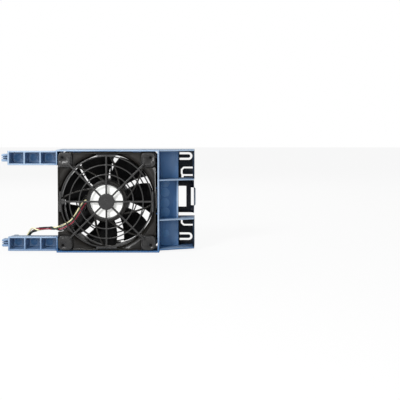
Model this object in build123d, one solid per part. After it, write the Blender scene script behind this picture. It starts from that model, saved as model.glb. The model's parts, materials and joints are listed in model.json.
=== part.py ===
from build123d import *
import os
from math import atan2, cos, degrees, radians, sin, sqrt, tan

# Server fan module, in millimetres. It is drawn about the fan's axis: X to the right, Z up,
# and Y is the depth behind the fan frame's front face. save() then moves every piece so that
# the origin is the middle of the module's underside.

# Fan frame
fan_size = 92.0
fan_depth = 38.0
fan_half = fan_size / 2
fan_corner_radius = 4.0
rim_width = 1.3
rim_height = 1.0
bore_radius = fan_half - 2.0
mouth_radius = bore_radius + 5.4
mouth_depth = 5.5
mouth_bulge = ((5.4, 0.0), (2.6, 0.5), (0.9, 1.9))
flange_thickness = 4.0
duct_wall = 1.8
hole_pitch = fan_size - 9.5
hole_radius = 2.2
post_radius = 4.0
corner_web = 2.0
corner_web_length = 12.0
pad_pocket_depth = 1.2
pad_gap = 0.3

# Stator struts and motor base
strut_count = 8
strut_width = 1.5
strut_front = 0.8
strut_rear = 6.4
strut_sweep = 34.0
strut_bow = 0.62
strut_end_angle = -2.0
strut_root = 0.6
cable_strut_index = 5
cable_strut_width = 7.0
cable_strut_front = 2.2
cable_channel_width = 5.9
cable_channel_floor = 4.3
cable_notch_floor = 5.2
cable_slot_play = 1.6
cable_slot_reach = 4.0
cable_root_length = 6.0
cable_overrun = 1.5
cable_rim_start = 3.0
cable_tab = ((-0.787, -0.487), (-0.665, -0.526), (-0.726, -0.648), (-0.835, -0.583))
cable_tab_thickness = 1.0
motor_base_radius = 19.3
motor_base_front = 0.6
motor_base_floor = 1.6
motor_base_wall = 1.4
motor_base_rear = 7.4
base_hole_radius = 4.0
tube_socket_wall = 1.55
label_radius = 15.5
label_thickness = 0.25
label_recess = 0.3

# Guards
guard_height = 4.0
guard_thickness = 1.4
guard_ring_width = 1.2
guard_ring_places = (0.368, 0.577, 0.784, 0.970)
guard_hub_radius = 7.6
guard_spoke_width = 1.7
guard_bar_length = 19.0
guard_bar_outer = fan_half - 1.7
guard_bar_width = 1.4
guard_bar_rear = 0.8
guard_bar_chamfer = 1.0
guard_pad_size = 13.4
guard_pad_radius = 4.0
guard_pad_front = -1.2
guard_leg_width = 3.0
guard_groove_inset = 0.8
guard_groove_width = 0.45
guard_groove_depth = 0.7
guard_pin_length = 5.0
guard_pin_hole_radius = 1.2
guard_pin_hole_depth = 4.0

# Rotor
blade_count = 7
blade_start_angle = 5.8
blade_tip_radius = bore_radius - 0.8
blade_front = 9.5
blade_front_angles = (25.5, 22.6, 13.7)
blade_rear_angles = (-14.0, -20.8, -31.0)
blade_rear_depths = (27.0, 28.5, 31.0)
blade_thicknesses = (2.0, 1.5, 1.1)
blade_camber = 0.07
blade_edge = 0.5
hub_radius = 20.0
hub_wall = 1.4
hub_front = 8.6
hub_rear = 32.4
hub_floor = 1.8
hub_edge_radius = 1.5

# Motor
shaft_radius = 1.5
shaft_front = 3.0
shaft_chamfer = 0.3
clip_at = 0.9
clip_slot = 0.6
clip_thickness = 0.5
clip_depth = 0.4
clip_rim = 1.0
clip_gap = 1.4
washer_radii = (0.15, 1.1)
washer_rise = 0.45
washer_thickness = 0.3
bearing_outer_radius = 4.0
bearing_width = 3.0
bearing_race = 0.75
ball_radius = 0.72
ball_count = 6
track_half_widths = (0.62, 0.35)
cage_half_thickness = 0.28
cage_inset = 0.5
front_bearing_at = 5.6
rear_bearing_at = 19.4
tube_wall = 1.0
tube_shoulder = 0.6
yoke_wall = 1.0
yoke_length = 20.5
yoke_boss_length = 4.0
magnet_thickness = 2.0
magnet_length = 14.0
magnet_set_back = 2.5
air_gap = 0.4
core_front = 12.0
core_length = 7.0
core_hub_wall = 2.4
pole_count = 4
tooth_width = 3.6
pole_shoe = 1.8
pole_arc = 72.0
insulator_thickness = 0.8
coil_thickness = 2.2
coil_end = 0.6
coil_corner = 1.2
coil_play = 0.5
coil_hub_gap = 3.0
board_at = 5.5
board_thickness = 1.0
board_radius = 17.4
driver_chip = (8.0, 13.0, 1.1, -3.0, 3.0)
hall_sensor = (-1.5, 1.5, 0.9, 12.5, 15.0)
capacitor = (-13.0, -10.5, 1.0, 3.0, 6.0)

# Carrier round the fan
wall = 1.5
left_wall = 1.1
gap_left = 0.4
gap_right = 1.7
gap_height = 0.9
box_depth = 40.0
lip_width = 2.0
lip_length = 14.0
lip_at = 20.0
snap_play = 0.15
snap_height = 1.7
snap_length = 5.0
snap_width = 8.0
snap_at = 28.0
crush_rib_at = 12.0
crush_rib_width = 1.2

# Guide arms
arm_length = 46.6
arm_height = 13.6
arm_inset = 1.0
arm_front = 5.0
arm_floor_at = 22.0
arm_floor = 2.0
arm_draft = 3.0
arm_rib = 1.25
arm_rib_places = (0.339, 0.663)
tip_length = 7.3
tip_root = 1.2
tip_height = 7.3
tip_front = 12.0
tip_depth = 8.0
tip_chamfer = 0.8
prong_height = 2.3
tip_fin = 0.8
tip_web = 1.0
guide_rib = 2.0
guide_rib_rear = 38.0
guide_rib_length = 26.5

# Grip end
end_length = 32.8
end_bottom_inset = 1.8
end_slope_start = 1.0
end_slope_end = 16.0
end_rib = 1.3
end_rib_spread = 37.7
end_floor_at = 29.0
end_floor = 1.5
end_floor_length = 17.3
mid_wall_front = 17.0
mid_wall_rear = 34.0

# End cap
cap_at = 40.0
cap_thickness = 1.8
cap_wall = 1.5
cap_wall_front = end_slope_end + 1.5
cap_gap = 0.2
cap_strip = 3.0
slot_length = 12.6
slot_set_back = 2.1
slot_height = 7.6
slot_stroke = 2.1
slot_from_edge = 8.9
tongue_set_back = 12.6
tongue_stroke = 1.7
tongue_inner = 20.8
tongue_outer = 28.2
tongue_corner = 2.0
tongue_relief = 2.2
cap_lip_height = 0.9
cap_lip_length = 11.1
lock_hole_radius = 3.25
lock_hole_depth = 33.0
cap_leg_spread = 60.0
cap_leg_width = 6.0
cap_leg_thickness = 1.4
cap_leg_front = 33.2
cap_barb = (34.2, 36.7)
cap_barb_height = 1.0
barb_clearance = 0.3

# Latch
hinge_set_back = 7.8
hinge_depth = 36.4
hinge_pin_radius = 1.5
hinge_pin_overhang = 1.0
hinge_clearance = 0.05
barrel_radius = 3.1
handle_height = 31.5
handle_rise = 0.85
handle_rail = 5.5
handle_thickness = 3.2
handle_rear = 41.8
handle_bar_width = 4.55
handle_bar_set_back = 3.5
handle_overhang = 1.1
handle_grip = 1.7
handle_grip_front = 34.2
handle_grip_depth = 4.6
handle_hole_inset = 1.4
handle_shoulder = 1.5
handle_grip_height = 18.0
knuckle_height = 6.5
knuckle_reach = 5.0
spring_wire = 0.5
spring_radius = 2.5
spring_turns = 3
spring_pitch = 0.8
spring_free_leg = 4.5

# Lead and plug
wire_radius = 0.65
wire_pitch = 1.36
wire_turning = (1.8, 0.7, 0.6)
bundle_half = 0.74
bundle_split = (2.0, -2.4)
lead_depth = 3.5
lead_in_frame = ((-0.452, -0.026), (-0.702, -0.433), (-0.946, -0.561))
plug_overhang = 4.4
plug_length = 10.0
plug_height = 7.4
plug_depth = 7.6
plug_front = 26.4
plug_back = 2.0
plug_chamfer = 0.5
contact_pitch = 3.2
contact_hole = 1.1
contact_wall = 0.25
contact_set_back = 1.5
cradle_length = 4.0
cradle_wall = 1.3
cradle_lip = 0.8
cradle_play = 0.15
cradle_hook = 1.0

fit = 0.05
seat = 0.3
bite = 0.1
past = 1.0

box_left = -fan_half - gap_left - left_wall
box_right = fan_half + gap_right + wall
box_half = fan_half + gap_height + wall
arm_end = box_left - arm_length
arm_mid = box_half - arm_inset - arm_height / 2
end_right = box_right + end_length
end_floor_right = box_right + end_floor_length
end_bottom = -box_half + end_bottom_inset
end_mid = end_bottom_inset / 2
hinge_x = box_right + hinge_set_back
handle_mid = end_mid + handle_rise
handle_end = end_right + handle_overhang
handle_bar_right = end_right - handle_bar_set_back
handle_bar_left = handle_bar_right - handle_bar_width
slot_centre = box_half - slot_from_edge
tube_radius = bearing_outer_radius + tube_wall
magnet_outer = hub_radius - hub_wall - yoke_wall
magnet_inner = magnet_outer - magnet_thickness
core_radius = magnet_inner - air_gap
plug_left = arm_end - plug_overhang
plug_right = plug_left + plug_length
plug_at = -arm_mid
module_left = arm_end - tip_length
module_front = -guard_height
module_rear = fan_depth + guard_height
origin_x = (module_left + handle_end) / 2
origin_y = (module_front + module_rear) / 2
origin_z = -box_half


def save(name, *solids):
    piece = Compound(children=[s for solid in solids for s in solid.solids()])
    export_step(Pos(-origin_x, -origin_y, -origin_z) * piece, "parts/" + name + ".step")


def deep(outline, front, rear):
    """A front-view outline, carried back from one depth to another."""
    return extrude(Plane.XZ.offset(-front) * outline, amount=front - rear)


def block(x0, x1, y0, y1, z0, z1):
    middle = Pos((x0 + x1) / 2, (y0 + y1) / 2, (z0 + z1) / 2)
    return middle * Box(x1 - x0, y1 - y0, z1 - z0)


def upright(points, z0, z1):
    """A top-view outline (X, depth), carried up from one height to another."""
    face = make_face(Polyline(*points, close=True))
    return extrude(Plane.XY.offset(z0) * face, amount=z1 - z0)


def ring(inner, outer, front, rear):
    return deep(Circle(outer) - Circle(inner), front, rear)


def turned(points):
    """A profile of (radius, depth) points, turned about the fan's axis."""
    return revolve(make_face(Polyline(*points, close=True)), Axis.Y)


def about_fan(angle, piece):
    """Turn a piece counter-clockwise about the fan's axis, as seen from the front."""
    return Rot(0, -angle, 0) * piece


def polar(radius, angle):
    return (radius * cos(radians(angle)), radius * sin(radians(angle)))


def corners():
    return [(sx, sz) for sx in (-1, 1) for sz in (-1, 1)]


def corner_radius(points, index):
    """The widest arc for one corner of a route that leaves its neighbours their share."""
    before = points[index] - points[index - 1]
    after = points[index + 1] - points[index]
    turn = before.get_angle(after)
    return 0.45 * min(before.length, after.length) / tan(radians(turn / 2))


# Fan frame pieces


def strut_outline(inner_angle, outer_angle, width, reach):
    middle = inner_angle + strut_bow * (outer_angle - inner_angle)
    arc = ThreePointArc(
        polar(motor_base_radius, inner_angle),
        polar((motor_base_radius + reach) / 2, middle),
        polar(reach, outer_angle),
    )
    return SlotArc(arc, width)


def fan_frame():
    square = RectangleRounded(fan_size, fan_size, fan_corner_radius)
    frame = deep(square, 0, flange_thickness)
    frame += deep(square, fan_depth - flange_thickness, fan_depth)
    duct = Circle(bore_radius + duct_wall) & Rectangle(fan_size, fan_size)
    frame += deep(duct, 0, fan_depth)
    for sx, sz in corners():
        at = (sx * hole_pitch / 2, sz * hole_pitch / 2)
        frame += deep(Pos(*at) * Circle(post_radius), 0, fan_depth)
        reach = hole_pitch / sqrt(2) - corner_web_length / 2
        web = Pos(reach, 0) * Rectangle(corner_web_length, corner_web)
        frame += deep(Rot(0, 0, degrees(atan2(sz, sx))) * web, 0, fan_depth)
    frame -= deep(Circle(bore_radius), 0, fan_depth)
    mouth = bell_mouth()
    frame -= mouth
    frame -= Pos(0, fan_depth, 0) * mirror(mouth, Plane.XZ)
    pocket = guard_pad_size + pad_gap + fan_corner_radius
    edge = fan_half - seat - pad_gap - guard_pad_size + pocket / 2
    for sx, sz in corners():
        hole = Pos(sx * hole_pitch / 2, sz * hole_pitch / 2) * Circle(hole_radius)
        frame -= deep(hole, 0, fan_depth)
        seat_cut = Pos(sx * edge, sz * edge) * RectangleRounded(
            pocket, pocket, guard_pad_radius
        )
        frame -= deep(seat_cut, 0, pad_pocket_depth)
        frame -= deep(seat_cut, fan_depth - pad_pocket_depth, fan_depth)
    frame += motor_base()
    reach = bore_radius + strut_root
    for index in range(strut_count):
        if index == cable_strut_index:
            continue
        outer = strut_end_angle + index * 360 / strut_count
        outline = strut_outline(outer - strut_sweep, outer, strut_width, reach)
        frame += deep(outline, strut_front, strut_rear)
    frame += cable_strut(bore_radius - strut_root)
    return frame - cable_channel()


def bell_mouth():
    """What the rim, the recessed flange and the rounded mouth leave open at the front."""
    inner = fan_size - 2 * rim_width
    recess = RectangleRounded(inner, inner, fan_corner_radius - rim_width)
    lip = [(bore_radius + out, rim_height + back) for out, back in mouth_bulge]
    bell = turned([(0, 0), (mouth_radius, 0)] + lip + [(bore_radius, mouth_depth), (0, mouth_depth)])
    bell &= block(-inner / 2, inner / 2, 0, mouth_depth, -inner / 2, inner / 2)
    return bell + deep(recess, 0, rim_height)


def motor_base():
    rear = motor_base_rear
    floor = motor_base_front + motor_base_floor
    base = ring(base_hole_radius, motor_base_radius, motor_base_front, floor)
    inside = motor_base_radius - motor_base_wall
    base += ring(inside, motor_base_radius, motor_base_front, rear)
    socket = tube_radius + fit
    base += ring(socket, socket + tube_socket_wall, floor, board_at - seat)
    base -= deep(
        Circle(label_radius + label_recess),
        motor_base_front,
        motor_base_front + label_recess,
    )
    return base


def cable_path():
    """Centre line of the cable strut in the front view, from the motor base to the rim."""
    first, bend, exit_point = [Vector(x, z) * fan_half for x, z in lead_in_frame]
    back = (first - bend).normalized() * cable_root_length
    points = [first + back, bend, exit_point, Vector(-fan_half - cable_overrun, exit_point.Y)]
    return FilletPolyline(*points, radius=[corner_radius(points, index) for index in (1, 2)])


def cable_strut(reach):
    strut = deep(trace(cable_path(), cable_strut_width), cable_strut_front, strut_rear)
    strut &= ring(motor_base_radius - motor_base_wall / 2, reach, cable_strut_front, strut_rear)
    tab = make_face(Polyline(*[(x * fan_half, z * fan_half) for x, z in cable_tab], close=True))
    rear = cable_strut_front + bite
    return strut + deep(tab, rear - cable_tab_thickness, rear)


def cable_channel():
    """The open channel for the lead, from the motor base to the frame's left edge."""
    outline = trace(cable_path(), cable_channel_width)
    channel = deep(outline, cable_strut_front, cable_channel_floor)
    channel -= deep(Circle(motor_base_radius), 0, cable_channel_floor)
    rim_cut = deep(outline, -past, cable_channel_floor)
    rim_cut -= deep(Circle(bore_radius - cable_rim_start), -2 * past, strut_rear)
    width = cable_channel_width
    exit_z = lead_in_frame[2][1] * fan_half
    notch = block(
        -fan_half - past,
        -bore_radius,
        -past,
        cable_notch_floor,
        exit_z - width / 2,
        exit_z + width / 2,
    )
    floor = motor_base_front + motor_base_floor
    start_z = lead_in_frame[0][1] * fan_half
    wall_slot = block(
        -motor_base_radius - 2 * past,
        cable_slot_reach - board_radius,
        floor,
        board_at - bite,
        start_z - width / 2 - cable_slot_play,
        start_z + width / 2,
    )
    return channel + notch + rim_cut + wall_slot


# Finger guards


def guard():
    """The front guard: rings and spokes ahead of the fan, pads and pins in its corners."""
    front, rear = -guard_height, guard_thickness - guard_height
    half = guard_ring_width / 2
    plan = Circle(guard_hub_radius)
    for place in guard_ring_places:
        radius = place * bore_radius
        plan += Circle(radius + half) - Circle(radius - half)
    spoke = 2 * guard_bar_outer - guard_bar_width
    plan += Rectangle(spoke, guard_spoke_width)
    plan += Rectangle(guard_spoke_width, spoke)
    reach = sqrt(2) * (fan_half - guard_pad_size) + guard_pad_radius
    for angle in (45, 135):
        plan += Rot(0, 0, angle) * Rectangle(2 * reach, guard_spoke_width)
    body = deep(plan, front, rear)
    bar = block(
        guard_bar_outer - guard_bar_width,
        guard_bar_outer,
        front,
        guard_bar_rear,
        -guard_bar_length / 2,
        guard_bar_length / 2,
    )
    lit_edge = bar.edges().filter_by(Axis.Z).group_by(Axis.Y)[0].sort_by(Axis.X)[-1]
    bar = chamfer(lit_edge, guard_bar_chamfer)
    side = guard_spoke_width / 2
    diagonal = block(reach - guard_leg_width, reach, front, pad_pocket_depth, -side, side)
    for turn in (0, 90, 180, 270):
        body += about_fan(turn, bar)
        body += about_fan(turn + 45, diagonal)
        body += about_fan(turn, guard_pad())
    return body


def guard_pad():
    """The pad and the hollow pin of the upper right corner."""
    place = fan_half - seat - guard_pad_size / 2
    pad = deep(
        Pos(place, place) * RectangleRounded(guard_pad_size, guard_pad_size, guard_pad_radius),
        guard_pad_front,
        pad_pocket_depth,
    )
    outer = guard_pad_size - 2 * guard_groove_inset
    inner = outer - 2 * guard_groove_width
    radius = guard_pad_radius - guard_groove_inset
    groove = RectangleRounded(outer, outer, radius)
    groove -= RectangleRounded(inner, inner, radius - guard_groove_width)
    groove -= Pos(outer / 2, 0) * Rectangle(outer / 2, 2 * outer)
    groove -= Pos(0, outer / 2) * Rectangle(2 * outer, outer / 2)
    pad -= deep(Pos(place, place) * groove, guard_pad_front, guard_pad_front + guard_groove_depth)
    pin = Pos(hole_pitch / 2, hole_pitch / 2)
    pad += deep(pin * Circle(hole_radius - fit), guard_pad_front, pad_pocket_depth + guard_pin_length)
    hole_rear = guard_pad_front + guard_pin_hole_depth
    return pad - deep(pin * Circle(guard_pin_hole_radius), guard_pad_front, hole_rear)


def rear_guard():
    return Pos(0, fan_depth, 0) * mirror(guard(), Plane.XZ)


# Rotor pieces


def blade_section(x, station):
    """One blade section, on a plane across the radius: X is up the frame, Y is depth."""
    lead = Vector(x * tan(radians(blade_rear_angles[station])), blade_rear_depths[station])
    trail = Vector(x * tan(radians(blade_front_angles[station])), blade_front)
    along = (trail - lead).normalized()
    across = Vector(-along.Y, along.X)
    middle = (lead + trail) * 0.5 + across * (blade_camber * (trail - lead).length)
    edge = across * (blade_edge / 2)
    body = across * (blade_thicknesses[station] / 2)
    outline = [
        ThreePointArc(lead + edge, middle + body, trail + edge),
        Line(trail + edge, trail - edge),
        ThreePointArc(trail - edge, middle - body, lead - edge),
        Line(lead - edge, lead + edge),
    ]
    plane = Plane(origin=(x, 0, 0), x_dir=(0, 0, 1), z_dir=(-1, 0, 0))
    return plane * make_face(Curve() + outline)


def blade():
    root_x, tip_x = hub_radius * 0.8, blade_tip_radius + 1.8
    places = (root_x, (root_x + tip_x) / 2, tip_x)
    sections = [blade_section(x, station) for station, x in enumerate(places)]
    return loft(sections) & ring(hub_radius - hub_wall / 2, blade_tip_radius, 0, fan_depth)


def impeller():
    inside = hub_radius - hub_wall
    hub = turned(
        [
            (0, hub_rear),
            (hub_radius - hub_edge_radius, hub_rear),
            (hub_radius, hub_rear - hub_edge_radius),
            (hub_radius, hub_front),
            (inside, hub_front),
            (inside, hub_rear - hub_floor),
            (0, hub_rear - hub_floor),
        ]
    )
    one = blade()
    for index in range(blade_count):
        hub += about_fan(blade_start_angle + index * 360 / blade_count, one)
    return hub


def rotor_yoke():
    outer = hub_radius - hub_wall - fit
    rear = hub_rear - hub_floor - fit
    front = rear - yoke_length
    inner = outer - yoke_wall
    boss = shaft_radius + 2.0
    profile = [
        (shaft_radius + fit, rear),
        (outer, rear),
        (outer, front),
        (inner, front),
        (inner, rear - yoke_wall),
        (boss, rear - yoke_wall),
        (boss, rear - yoke_boss_length - yoke_wall),
        (shaft_radius + fit, rear - yoke_boss_length - yoke_wall),
    ]
    return turned(profile)


def rotor_magnet():
    rear = hub_rear - hub_floor - yoke_wall - magnet_set_back
    return ring(magnet_inner, magnet_outer - 2 * fit, rear - magnet_length, rear)


def shaft():
    rear = hub_rear - hub_floor - seat
    rod = deep(Circle(shaft_radius), shaft_front, rear)
    front = shaft_front + clip_at
    groove = ring(shaft_radius - clip_depth, shaft_radius + past, front, front + clip_slot)
    return chamfer(rod.edges().group_by(Axis.Y)[0], shaft_chamfer) - groove


def shaft_clip():
    at = shaft_front + clip_at + (clip_slot - clip_thickness) / 2
    outer = shaft_radius + clip_rim
    washer = Circle(outer) - Circle(shaft_radius - clip_depth + fit)
    washer -= Pos(outer, 0) * Rectangle(2 * outer, clip_gap)
    return deep(washer, at, at + clip_thickness)


# Bearings and their tube


def race(face, groove, at):
    """The face of a bearing race with its track, as points of radius and depth."""
    middle = at + bearing_width / 2
    mouth, bottom = track_half_widths
    return [
        (face, at),
        (face, middle - mouth),
        (groove, middle - bottom),
        (groove, middle + bottom),
        (face, middle + mouth),
        (face, at + bearing_width),
    ]


def bearing(at):
    """Outer race, inner race, balls and cage of one ball bearing, front face at a depth."""
    middle = at + bearing_width / 2
    pitch = (bearing_outer_radius + shaft_radius) / 2
    back = bearing_outer_radius
    outer_face = race(back - bearing_race, pitch + ball_radius + fit / 2, at)
    outer = turned([(back, at)] + outer_face + [(back, at + bearing_width)])
    bore = shaft_radius + fit / 2
    inner_face = race(shaft_radius + bearing_race, pitch - ball_radius - fit / 2, at)
    inner = turned([(bore, at)] + inner_face + [(bore, at + bearing_width)])
    balls = []
    cage_rear = at + bearing_width - cage_inset
    cage = ring(pitch - cage_half_thickness, pitch + cage_half_thickness, at + cage_inset, cage_rear)
    pocket_width = 2 * (ball_radius + fit)
    for index in range(ball_count):
        angle = index * 360 / ball_count
        ball = Pos(pitch, middle, 0) * Sphere(ball_radius)
        pocket = Pos(pitch, middle, 0) * Box(2 * past, pocket_width, pocket_width)
        balls.append(about_fan(angle, ball))
        cage -= about_fan(angle, pocket)
    return outer, inner, balls, cage


def bearing_tube():
    outer = bearing_outer_radius + fit / 2
    rear = rear_bearing_at + bearing_width + tube_shoulder
    front = motor_base_front + motor_base_floor
    shoulder = bearing_outer_radius - tube_shoulder
    return turned(
        [
            (outer, front),
            (tube_radius, front),
            (tube_radius, rear),
            (outer, rear),
            (outer, rear_bearing_at - fit),
            (shoulder, rear_bearing_at - fit),
            (shoulder, front_bearing_at + bearing_width + fit),
            (outer, front_bearing_at + bearing_width + fit),
        ]
    )


def preload_washer():
    front = rear_bearing_at + bearing_width + 2 * fit
    boss = hub_rear - hub_floor - fit - yoke_wall - yoke_boss_length
    inner, outer = [shaft_radius + step for step in washer_radii]
    edge = boss - washer_rise
    return turned(
        [(inner, front), (outer, edge), (outer, edge + washer_thickness), (inner, front + washer_thickness)]
    )


# Stator pieces


def core_outline(spread):
    plan = Circle(tube_radius + core_hub_wall)
    outer = core_radius - spread
    shoe = Circle(outer) - Circle(outer - pole_shoe)
    for index in range(pole_count):
        angle = 45 + index * 360 / pole_count
        tooth = Pos((outer - 1) / 2, 0) * Rectangle(outer - 1, tooth_width + 2 * spread)
        plan += Rot(0, 0, angle) * tooth
        reach = outer * 1.5
        edge = (reach * cos(radians(pole_arc / 2)), reach * sin(radians(pole_arc / 2)))
        wedge = make_face(Polyline((0, 0), edge, (edge[0], -edge[1]), close=True))
        plan += Rot(0, 0, angle) * (shoe & wedge)
    return plan - Circle(tube_radius + fit)


def stator_core():
    return deep(core_outline(0), core_front, core_front + core_length)


def core_insulators():
    plan = core_outline(insulator_thickness / 4) - Circle(tube_radius + 0.6)
    front = deep(plan, core_front - insulator_thickness, core_front)
    rear_at = core_front + core_length
    rear = deep(plan, rear_at, rear_at + insulator_thickness)
    return front, rear


def stator_windings():
    inner = tube_radius + coil_hub_gap
    front = core_front - insulator_thickness
    rear = core_front + core_length + insulator_thickness
    half = tooth_width / 2 + coil_play
    outer = sqrt((core_radius - pole_shoe) ** 2 - (half + coil_thickness) ** 2) - coil_play
    coils = []
    for index in range(pole_count):
        bulk = block(
            inner,
            outer,
            front - coil_thickness * coil_end,
            rear + coil_thickness * coil_end,
            -half - coil_thickness,
            half + coil_thickness,
        )
        bulk = fillet(bulk.edges().filter_by(Axis.X), coil_corner)
        core = block(inner - past, outer + past, front - bite, rear + bite, -half, half)
        coils.append(about_fan(45 + index * 360 / pole_count, bulk - core))
    return coils


def circuit_board():
    plan = Circle(board_radius) - Circle(tube_radius + 0.3)
    return deep(plan, board_at, board_at + board_thickness)


def board_chips():
    rear = board_at + board_thickness
    packages = []
    for x0, x1, height, z0, z1 in (driver_chip, hall_sensor, capacitor):
        packages.append(block(x0, x1, rear, rear + height, z0, z1))
    return packages


# Carrier moulding


def between_heights(a, b):
    return (min(a, b), max(a, b))


def fan_box():
    depth = box_depth
    outer = block(box_left, box_right, 0, depth, -box_half, box_half)
    right = box_right - wall
    inner_half = box_half - wall
    inside = block(box_left + left_wall, right, -past, depth + past, -inner_half, inner_half)
    between = arm_mid - arm_height / 2
    open_right = box_left + left_wall + past
    open_side = block(box_left - past, open_right, -past, depth + past, -between, between)
    box = outer - inside - open_side
    rib_front, rib_rear = flange_thickness, fan_depth - flange_thickness / 2
    for s in (-1, 1):
        lip_heights = between_heights(s * (inner_half - lip_width), s * inner_half)
        rib_heights = between_heights(s * (fan_half + fit), s * inner_half)
        rib_low = s * crush_rib_at - crush_rib_width / 2
        rib_high = rib_low + crush_rib_width
        for x in (-lip_at, lip_at):
            box += block(x - lip_length / 2, x + lip_length / 2, fan_depth, depth, *lip_heights)
            box += fan_snap(s, x * snap_at / lip_at)
            box += block(rib_low, rib_high, rib_front, rib_rear, *rib_heights)
        lip_low = s * lip_at - lip_length / 2
        lip_high = lip_low + lip_length
        box += block(right - lip_width, right, fan_depth, depth, lip_low, lip_high)
        box += block(right - gap_right + fit, right, rib_front, rib_rear, rib_low, rib_high)
    return box


def fan_snap(s, x):
    """A wedge on the box wall that catches behind the fan's front flange."""
    face = box_half - wall
    front = flange_thickness + snap_play
    profile = Plane.YZ * make_face(
        Polyline(
            (front, face + bite),
            (front, face - snap_height),
            (front + snap_length, face + bite),
            close=True,
        )
    )
    wedge = Pos(x - snap_width / 2, 0, 0) * extrude(profile, amount=snap_width)
    return wedge if s > 0 else mirror(wedge, Plane.XY)


def arm_cell_walls():
    """Left and right end of each cell of an arm."""
    ribs = [arm_end + place * arm_length for place in arm_rib_places]
    lefts = [arm_end + wall] + [x + arm_rib / 2 for x in ribs]
    rights = [x - arm_rib / 2 for x in ribs] + [box_left]
    return list(zip(lefts, rights))


def arm(s):
    """One guide arm: a drafted tray of cells, a split tip and a guide rib behind."""
    right = box_left + left_wall / 2
    middle = Pos((right + arm_end) / 2, s * arm_mid)
    outline = middle * Rectangle(right - arm_end, arm_height)
    rear = arm_floor_at + arm_floor
    body = extrude(
        Plane.XZ.offset(-arm_front) * outline, amount=arm_front - rear, taper=arm_draft
    )
    half = arm_height / 2
    body += block(box_left - wall, right, arm_front, rear, s * arm_mid - half, s * arm_mid + half)
    for left, cell_right in arm_cell_walls():
        middle = Pos((left + cell_right) / 2, s * arm_mid)
        cell = middle * Rectangle(cell_right - left, arm_height - 2 * wall)
        body -= extrude(
            Plane.XZ.offset(-arm_front) * cell, amount=arm_front - arm_floor_at, taper=arm_draft
        )
    body += arm_tip(s)
    rib_end = box_left - guide_rib_length
    rib_low, rib_high = s * arm_mid - guide_rib / 2, s * arm_mid + guide_rib / 2
    body += block(rib_end, right, rear - bite, guide_rib_rear, rib_low, rib_high)
    return body


def arm_tip(s):
    """Two prongs and a fin, joined behind by a web."""
    rear = tip_front + tip_depth
    low, high = s * arm_mid - tip_height / 2, s * arm_mid + tip_height / 2
    tip = block(module_left, arm_end + tip_root, tip_front, rear, low, high)
    tip = chamfer(tip.edges().filter_by(Axis.Y).group_by(Axis.X)[0], tip_chamfer)
    fin_low, fin_high = s * arm_mid - tip_fin / 2, s * arm_mid + tip_fin / 2
    for z0, z1 in ((low + prong_height, fin_low), (fin_high, high - prong_height)):
        tip -= block(module_left - past, arm_end, tip_front - past, rear - tip_web, z0, z1)
    return tip


def end_outline(left, right):
    """The wedge of the grip end in the top view, between two places along X."""
    slope = (end_slope_end - end_slope_start) / (end_right - box_right)
    front_left = end_slope_start + slope * (left - box_right)
    front_right = end_slope_start + slope * (right - box_right)
    return [(left, front_left), (right, front_right), (right, box_depth), (left, box_depth)]


def end_ribs():
    return (end_mid - end_rib_spread / 2, end_mid + end_rib_spread / 2)


def grip_end():
    left = box_right - wall / 2
    body = upright(end_outline(left, end_right), box_half - wall, box_half)
    body += upright(end_outline(left, end_right), end_bottom, end_bottom + wall)
    low, high = end_ribs()
    for z in (low, high):
        body += upright(end_outline(left, end_right), z - end_rib / 2, z + end_rib / 2)
    floor_rear = end_floor_at + end_floor
    body += block(left, end_floor_right, end_floor_at, floor_rear, end_bottom, box_half)
    step = end_floor_right - wall
    body += block(step, end_floor_right, end_floor_at, box_depth, end_bottom, low)
    body += block(step, end_floor_right, end_floor_at, box_depth, high, box_half)
    body += block(step, end_floor_right, mid_wall_front, mid_wall_rear, low, high)
    half = cap_leg_width / 2 + 2 * cap_gap
    front, rear = cap_barb[0] - cap_gap, cap_barb[1] + barb_clearance
    for leg_z in cap_leg_places():
        body -= block(step - past, end_floor_right + past, front, rear, leg_z - half, leg_z + half)
    pin_hole = Cylinder(hinge_pin_radius + fit / 2, end_rib_spread + 4 * end_rib)
    return body - Pos(hinge_x, hinge_depth, end_mid) * pin_hole


def carrier():
    return fan_box() + arm(1) + arm(-1) + grip_end() + plug_cradle()


def plug_cradle():
    """Two clip walls behind the lower arm that hold the lead's plug."""
    front = arm_floor_at + arm_floor - bite
    half = plug_height / 2 + cradle_play
    rear = plug_front + plug_depth
    tip_rear = rear + cap_gap + cradle_hook
    left, right = arm_end, arm_end + cradle_length
    cradle = block(left, right, front, plug_front, plug_at - half, plug_at + half)
    for s in (-1, 1):
        outer = plug_at + s * (half + cradle_wall)
        heights = between_heights(plug_at + s * half, outer)
        cradle += block(left, right, front, tip_rear, *heights)
        heights = between_heights(plug_at + s * (half - cradle_lip), outer)
        cradle += block(left, right, rear + cap_gap, tip_rear, *heights)
    return cradle


# End cap moulding


def cap_leg_places():
    return [handle_mid - cap_leg_spread / 2, handle_mid + cap_leg_spread / 2]


def stroke_path(points, radius, width):
    """A slot of one width along a cornered path in the front view."""
    path = FilletPolyline(*points, radius=radius)
    return trace(path, width)


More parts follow.
